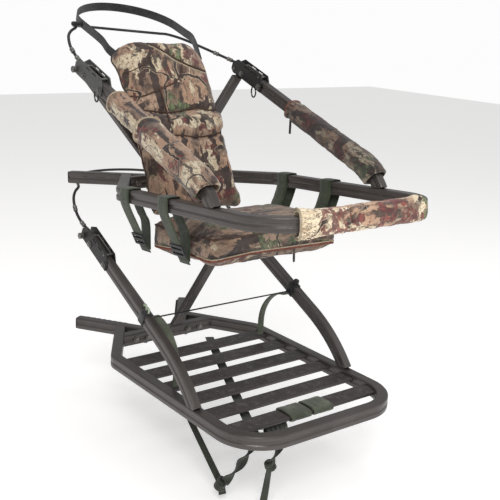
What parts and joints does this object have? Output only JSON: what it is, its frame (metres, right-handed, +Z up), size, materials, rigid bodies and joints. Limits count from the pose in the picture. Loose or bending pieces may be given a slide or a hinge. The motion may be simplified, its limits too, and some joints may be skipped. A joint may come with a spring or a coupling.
{
  "type": "climbing tree stand",
  "caption": "Two-section tree stand: slatted foot platform and hung padded seat frame, each held on a trunk by gripping horns and a cable.",
  "frame": {"origin": "top of the platform's front edge on the centre line, which is the front bar's outer top edge", "axes": "+Z up along the trunk, -Y forward away from the trunk, +X to the sitter's left"},
  "size_m": [0.5695, 1.2275, 1.1246],
  "materials": {
    "rail_grey": "warm dark grey hammered coat on aluminium extrusion",
    "slat_grey": "warm dark grey coat, fine lengthways ribs",
    "dark_steel": "black coated steel plate",
    "zinc_steel": "dull zinc plated steel",
    "black_rubber": "ribbed black rubber",
    "black_webbing": "black woven webbing",
    "olive_webbing": "dark olive woven webbing",
    "green_pads": "grey green webbing",
    "camo_fabric": null,
    "cable_coat": "black plastic coating over steel cable",
    "black_plastic": "black moulded plastic"
  },
  "bodies": {
    "platform": {"platform_frame": "rail_grey", "platform_yoke": "rail_grey", "deck_slats": "slat_grey", "platform_grips": "black_rubber", "platform_end_caps": "black_plastic", "platform_arm_left": "rail_grey", "platform_arm_right": "rail_grey", "platform_brace_left": "rail_grey", "platform_brace_right": "rail_grey", "platform_bracket_left": "dark_steel", "platform_bracket_right": "dark_steel", "platform_cable": "cable_coat", "platform_cable_stops": "zinc_steel", "platform_bolts": "zinc_steel", "toe_pads": "green_pads", "toe_strap_coil": "black_webbing", "stirrup_hooks": "black_webbing", "stirrup_cord": "cable_coat", "transport_strap": "olive_webbing", "tether_straps": "olive_webbing"},
    "seat": {"seat_frame": "rail_grey", "seat_yoke": "rail_grey", "seat_grips": "black_rubber", "seat_end_caps": "black_plastic", "seat_arm_left": "rail_grey", "seat_arm_right": "rail_grey", "seat_brace_left": "rail_grey", "seat_brace_right": "rail_grey", "seat_bracket_left": "dark_steel", "seat_bracket_right": "dark_steel", "pull_loops": "black_webbing", "seat_cable": "cable_coat", "seat_cable_stops": "zinc_steel", "seat_bolts": "zinc_steel", "arm_sleeve_left": "camo_fabric", "arm_sleeve_right": "camo_fabric", "arm_sleeve_right_upper": "camo_fabric", "front_bar_pad": "camo_fabric", "seat_cushion": "camo_fabric", "hanger_straps_left": "olive_webbing", "hanger_straps_right": "olive_webbing", "strap_buckles": "black_plastic", "backrest_strap": "black_webbing"},
    "platform_latch_left": {"platform_latch_left": "zinc_steel"},
    "platform_pin_left": {"platform_pin_left": "zinc_steel"},
    "platform_latch_right": {"platform_latch_right": "zinc_steel"},
    "platform_pin_right": {"platform_pin_right": "zinc_steel"},
    "seat_latch_left": {"seat_latch_left": "zinc_steel"},
    "seat_pin_left": {"seat_pin_left": "zinc_steel"},
    "seat_latch_right": {"seat_latch_right": "zinc_steel"},
    "seat_pin_right": {"seat_pin_right": "zinc_steel"},
    "backrest": {"backrest": "camo_fabric"},
    "throat_knob": {"throat_knob": "black_plastic"},
    "zipper_pull": {"zipper_pull": "black_plastic"},
    "heel_loop_left": {"heel_loop_left": "green_pads"},
    "heel_loop_right": {"heel_loop_right": "green_pads"}
  },
  "joints": [
    {"name": "seat_climb", "type": "slide", "parent": "platform", "child": "seat", "axis": [0, 0, 1], "range_m": [0, 0.35], "stiffness_N_per_m": 100, "springref_m": 0.434},
    {"name": "platform_latch_left_lift", "type": "hinge", "parent": "platform", "child": "platform_latch_left", "pos_m": [0.243, 0.64665, 0.27459], "axis": [1, 0, 0], "range_deg": [0, 70]},
    {"name": "platform_pin_left_pull", "type": "slide", "parent": "platform", "child": "platform_pin_left", "axis": [1, 0, 0], "range_m": [0, 0.012], "stiffness_N_per_m": 300, "springref_m": -0.004},
    {"name": "platform_latch_right_lift", "type": "hinge", "parent": "platform", "child": "platform_latch_right", "pos_m": [-0.243, 0.64665, 0.27459], "axis": [1, 0, 0], "range_deg": [0, 70]},
    {"name": "platform_pin_right_pull", "type": "slide", "parent": "platform", "child": "platform_pin_right", "axis": [-1, 0, 0], "range_m": [0, 0.012], "stiffness_N_per_m": 300, "springref_m": -0.004},
    {"name": "seat_latch_left_lift", "type": "hinge", "parent": "seat", "child": "seat_latch_left", "pos_m": [0.254, 0.65629, 0.7326], "axis": [1, 0, 0], "range_deg": [0, 70]},
    {"name": "seat_pin_left_pull", "type": "slide", "parent": "seat", "child": "seat_pin_left", "axis": [1, 0, 0], "range_m": [0, 0.012], "stiffness_N_per_m": 300, "springref_m": -0.004},
    {"name": "seat_latch_right_lift", "type": "hinge", "parent": "seat", "child": "seat_latch_right", "pos_m": [-0.254, 0.65629, 0.7326], "axis": [1, 0, 0], "range_deg": [0, 70]},
    {"name": "seat_pin_right_pull", "type": "slide", "parent": "seat", "child": "seat_pin_right", "axis": [-1, 0, 0], "range_m": [0, 0.012], "stiffness_N_per_m": 300, "springref_m": -0.004},
    {"name": "backrest_fold", "type": "hinge", "parent": "seat", "child": "backrest", "pos_m": [0, 0.56157, 0.39379], "axis": [1, 0, 0], "range_deg": [0, 20]},
    {"name": "throat_knob_spin", "type": "hinge", "parent": "seat", "child": "throat_knob", "pos_m": [0, 0.73911, 0.45966], "axis": [0, 0.075, 0.9972], "continuous": true},
    {"name": "zipper_pull_swing", "type": "hinge", "parent": "seat", "child": "zipper_pull", "pos_m": [0.254, 0.52026, 0.62545], "axis": [1, 0, 0], "range_deg": [-25, 25]},
    {"name": "heel_loop_left_swing", "type": "hinge", "parent": "platform", "child": "heel_loop_left", "pos_m": [0.206, 0.45605, 0.15155], "axis": [1, 0, 0], "range_deg": [0, 50]},
    {"name": "heel_loop_right_swing", "type": "hinge", "parent": "platform", "child": "heel_loop_right", "pos_m": [-0.206, 0.45605, 0.15155], "axis": [-1, 0, 0], "range_deg": [0, 50]}
  ]
}
